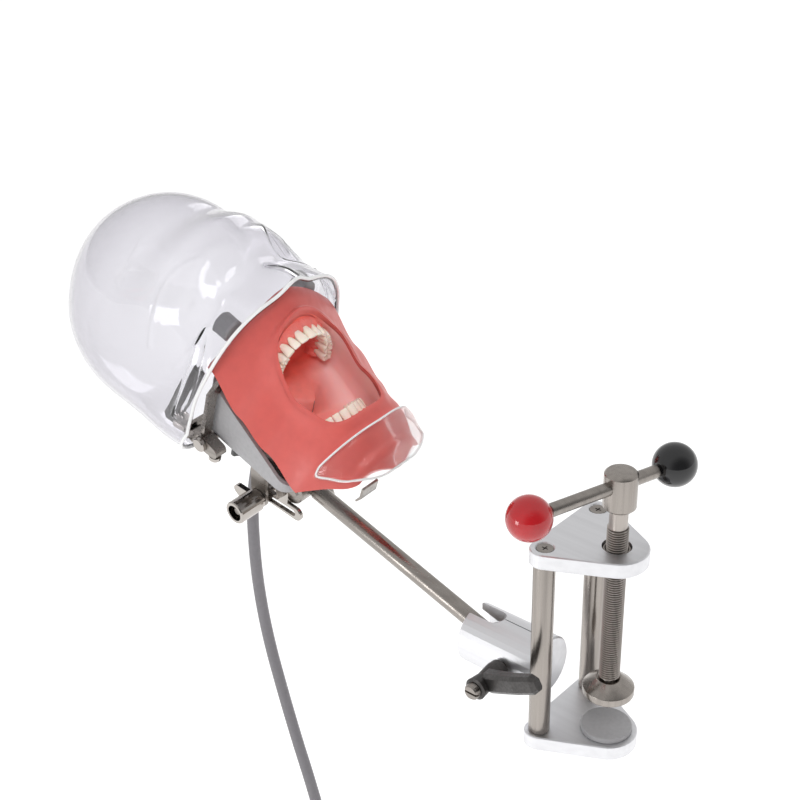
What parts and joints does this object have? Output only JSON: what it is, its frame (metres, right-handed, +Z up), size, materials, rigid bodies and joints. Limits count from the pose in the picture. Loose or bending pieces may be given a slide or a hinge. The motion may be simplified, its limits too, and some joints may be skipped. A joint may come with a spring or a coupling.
{
  "type": "dental phantom head with typodont jaws",
  "caption": "Clear manikin head with an open coral mask over hinged typodont jaws, held by a ball-jointed steel arm on a table clamp with a T-bar spindle and a drain hose.",
  "frame": {"origin": "middle of the clamp's fixed jaw pad, on the face that presses up against the table", "axes": "+Z up along the clamping spindle, +Y away from the table towards the head, +X along the table's edge"},
  "size_m": [0.1695, 0.5719, 0.7987],
  "materials": {
    "satin_aluminium": "satin, turned and brushed",
    "stainless": "fine brushed",
    "chromed": "polished",
    "dark_zinc": "dark grey satin",
    "grey_plastic": "matt",
    "black_plastic": "glossy",
    "red_plastic": "glossy",
    "coral_rubber": "satin silicone",
    "gum_rubber": "satin silicone",
    "ivory": "glossy resin",
    "clear_plastic": "clear moulded plastic, polished",
    "grey_hose": "satin",
    "bronze": "machined"
  },
  "bodies": {
    "clamp": {"clamp_lower_plate": "satin_aluminium", "jaw_pad": "grey_plastic", "post_near": "stainless", "post_far": "stainless", "clamp_top_plate": "satin_aluminium", "threaded_bush": "stainless", "top_screw_near": "stainless", "top_screw_far": "stainless", "bottom_screw_near": "stainless", "bottom_screw_far": "stainless", "ball_joint_housing": "satin_aluminium", "brake_shoe": "bronze"},
    "foot": {"foot_pad": "stainless"},
    "spindle": {"spindle_screw": "stainless", "spindle_cap": "stainless"},
    "tommy_bar": {"tommy_bar": "stainless", "ball_knob_red": "red_plastic", "ball_knob_black": "black_plastic"},
    "lever": {"clamping_lever": "dark_zinc", "clamping_stud": "stainless", "lever_screw": "stainless"},
    "ball": {"arm_ball": "stainless"},
    "arm": {"arm_rod": "stainless", "rod_end_drum": "stainless", "slotted_link_near": "chromed", "slotted_link_far": "chromed", "link_pin": "stainless"},
    "carriage": {"tilt_bolt": "stainless", "neck_spacer": "chromed"},
    "sleeve": {"locking_sleeve": "chromed"},
    "head": {"neck_yoke": "stainless", "hinge_block_near": "stainless", "hinge_block_far": "stainless", "hinge_pin_near": "chromed", "hinge_pin_far": "chromed", "block_screw_near": "chromed", "block_screw_far": "chromed", "bar_post_near": "chromed", "bar_post_far": "chromed", "shell_bar_near": "dark_zinc", "shell_bar_far": "dark_zinc", "upper_jaw_frame": "stainless", "upper_gum": "gum_rubber", "upper_teeth": "ivory", "drain_tub": "grey_plastic", "drain_spout": "grey_plastic", "drain_hose": "grey_hose", "head_shell": "clear_plastic", "face_mask": "coral_rubber", "oral_lining": "gum_rubber", "chin_strap": "clear_plastic", "chin_clip": "stainless"},
    "star": {"star_knob": "black_plastic"},
    "jaw": {"lower_jaw_frame": "stainless", "lower_gum": "gum_rubber", "lower_teeth": "ivory"},
    "knob_near": {"mask_knob_near": "grey_plastic"},
    "knob_far": {"mask_knob_far": "grey_plastic"}
  },
  "joints": [
    {"name": "foot_slide", "type": "slide", "parent": "clamp", "child": "foot", "axis": [0, 0, 1], "range_m": [-0.028, 0.045]},
    {"name": "spindle_turn", "type": "hinge", "parent": "foot", "child": "spindle", "pos_m": [0, 0, 0.1], "axis": [0, 0, 1], "range_deg": [-5040, 8100]},
    {"name": "bar_slide", "type": "slide", "parent": "spindle", "child": "tommy_bar", "axis": [0.9563, -0.2924, 0], "range_m": [-0.02, 0.048]},
    {"name": "lever_turn", "type": "hinge", "parent": "clamp", "child": "lever", "pos_m": [-0.072, 0.072, 0.0403], "axis": [1, 0, 0], "range_deg": [-20, 40]},
    {"name": "arm_lift", "type": "hinge", "parent": "clamp", "child": "ball", "pos_m": [-0.014, 0.093, 0.0403], "axis": [1, 0, 0], "range_deg": [-14, 40]},
    {"name": "arm_twist", "type": "hinge", "parent": "ball", "child": "arm", "pos_m": [-0.014, 0.093, 0.0403], "axis": [0, 0.9483, 0.3173], "range_deg": [-30, 30]},
    {"name": "neck_slide", "type": "slide", "parent": "arm", "child": "carriage", "axis": [-0.0207, -0.992, -0.1245], "range_m": [0, 0.01]},
    {"name": "sleeve_turn", "type": "hinge", "parent": "carriage", "child": "sleeve", "pos_m": [-0.01139, 0.33389, 0.09468], "axis": [0.9945, -0.0332, 0.0991], "range_deg": [-60, 15]},
    {"name": "neck_tilt", "type": "hinge", "parent": "carriage", "child": "head", "pos_m": [-0.01139, 0.33389, 0.09468], "axis": [0.9945, -0.0332, 0.0991], "range_deg": [-12, 20]},
    {"name": "star_turn", "type": "hinge", "parent": "head", "child": "star", "pos_m": [-0.02598, 0.35883, 0.13849], "axis": [-0.1043, -0.3729, 0.922], "continuous": true},
    {"name": "jaw_close", "type": "hinge", "parent": "head", "child": "jaw", "pos_m": [-0.01887, 0.34003, 0.17183], "axis": [-0.9945, 0.0332, -0.0991], "range_deg": [0, 28], "deforming": ["face_mask", "oral_lining", "chin_strap", "chin_clip"]},
    {"name": "knob_near_turn", "type": "hinge", "parent": "head", "child": "knob_near", "pos_m": [-0.0693, 0.32039, 0.26772], "axis": [-0.0064, 0.9273, 0.3743], "continuous": true},
    {"name": "knob_far_turn", "type": "hinge", "parent": "head", "child": "knob_far", "pos_m": [0.01026, 0.31774, 0.27565], "axis": [-0.0064, 0.9273, 0.3743], "continuous": true}
  ],
  "couplings": [
    {"joint": "foot_slide", "follows": "spindle_turn", "m_per_rad": 0.00031831}
  ]
}
